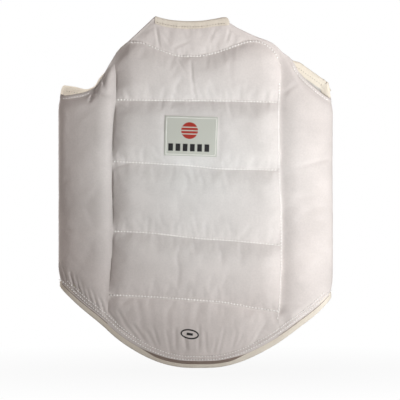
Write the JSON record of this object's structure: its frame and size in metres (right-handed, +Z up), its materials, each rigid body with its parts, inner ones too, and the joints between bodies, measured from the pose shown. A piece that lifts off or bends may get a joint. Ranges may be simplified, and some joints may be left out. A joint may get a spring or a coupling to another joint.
{
  "type": "karate chest protector",
  "caption": "White quilted padded vest with cream bound edges, open armholes, hinged back halves, shoulder flaps and elastic closing straps.",
  "frame": {"origin": "lowest point of the hem, on the centre plane, half way through the depth", "axes": "+Z up along the wearer's spine, front faces -Y, +X to the right of someone facing the front"},
  "size_m": [0.412, 0.082, 0.523],
  "materials": {
    "white_cotton": "matt white polyester-cotton twill, quilted with white thread",
    "lining_cloth": "matt off-white plain-weave lining",
    "foam": "closed-cell foam sheet, unseen inside the quilting",
    "cream_binding": "cream folded cotton tape with a row of stitching",
    "label_satin": "satin-woven label, slightly shiny, with a plain printed motif",
    "printed_ink": "matt black transfer print",
    "elastic_webbing": "ribbed white knitted elastic",
    "hook_tape": "white nylon hook tape",
    "loop_tape": "white napped loop tape"
  },
  "bodies": {
    "front": {"centre_cover": "white_cotton", "centre_lining": "lining_cloth", "apron_wadding": "foam", "chest_pad_lowest": "foam", "chest_pad_lower": "foam", "chest_pad_upper": "foam", "chest_pad_top": "foam", "neck_wadding": "foam", "left_side_cover": "white_cotton", "left_side_lining": "lining_cloth", "left_side_pad": "foam", "left_armhole_facing": "white_cotton", "right_side_cover": "white_cotton", "right_side_lining": "lining_cloth", "right_side_pad": "foam", "right_armhole_facing": "white_cotton", "hem_binding": "cream_binding", "hem_facing": "white_cotton", "neck_binding": "cream_binding", "chest_label": "label_satin", "size_mark": "printed_ink"},
    "left_back": {"left_back_cover": "white_cotton", "left_back_lining": "lining_cloth", "left_back_pad": "foam", "left_back_armhole_binding": "cream_binding", "left_back_shoulder_binding": "cream_binding", "left_back_hem_binding": "cream_binding", "left_back_centre_binding": "cream_binding", "left_tab_loop_tape": "loop_tape", "lower_strap_anchor": "elastic_webbing", "upper_strap_anchor": "elastic_webbing"},
    "right_back": {"right_back_cover": "white_cotton", "right_back_lining": "lining_cloth", "right_back_pad": "foam", "right_back_armhole_binding": "cream_binding", "right_back_shoulder_binding": "cream_binding", "right_back_hem_binding": "cream_binding", "right_back_centre_binding": "cream_binding", "right_tab_loop_tape": "loop_tape", "lower_strap_loop_tape": "loop_tape", "upper_strap_loop_tape": "loop_tape"},
    "left_shoulder": {"left_shoulder_flap": "white_cotton", "left_flap_hook_tape": "hook_tape"},
    "right_shoulder": {"right_shoulder_flap": "white_cotton", "right_flap_hook_tape": "hook_tape"},
    "lower_strap": {"lower_elastic": "elastic_webbing", "lower_strap_hook_tape": "hook_tape"},
    "upper_strap": {"upper_elastic": "elastic_webbing", "upper_strap_hook_tape": "hook_tape"}
  },
  "joints": [
    {"name": "left_back_swing", "type": "hinge", "parent": "front", "child": "left_back", "pos_m": [-0.206, 0, 0.26], "axis": [0, 0, 1], "range_deg": [0, 160]},
    {"name": "right_back_swing", "type": "hinge", "parent": "front", "child": "right_back", "pos_m": [0.206, 0, 0.26], "axis": [0, 0, -1], "range_deg": [0, 160]},
    {"name": "left_shoulder_lift", "type": "hinge", "parent": "front", "child": "left_shoulder", "pos_m": [-0.0905, -0.0058, 0.497], "axis": [0.8097, 0, 0.5868], "range_deg": [0, 145]},
    {"name": "right_shoulder_lift", "type": "hinge", "parent": "front", "child": "right_shoulder", "pos_m": [0.0905, -0.0058, 0.497], "axis": [0.8097, 0, -0.5868], "range_deg": [0, 145]},
    {"name": "lower_strap_peel", "type": "hinge", "parent": "left_back", "child": "lower_strap", "pos_m": [-0.12608, 0.03435, 0.16], "axis": [0, 0, 1], "range_deg": [0, 175]},
    {"name": "upper_strap_peel", "type": "hinge", "parent": "left_back", "child": "upper_strap", "pos_m": [-0.12608, 0.03435, 0.27], "axis": [0, 0, 1], "range_deg": [0, 175]}
  ],
  "couplings": [
    {"joint": "left_shoulder_lift", "follows": "left_back_swing", "ratio": 0.9},
    {"joint": "right_shoulder_lift", "follows": "right_back_swing", "ratio": 0.9},
    {"joint": "lower_strap_peel", "follows": "right_back_swing", "ratio": 1.08},
    {"joint": "upper_strap_peel", "follows": "right_back_swing", "ratio": 1.08}
  ]
}
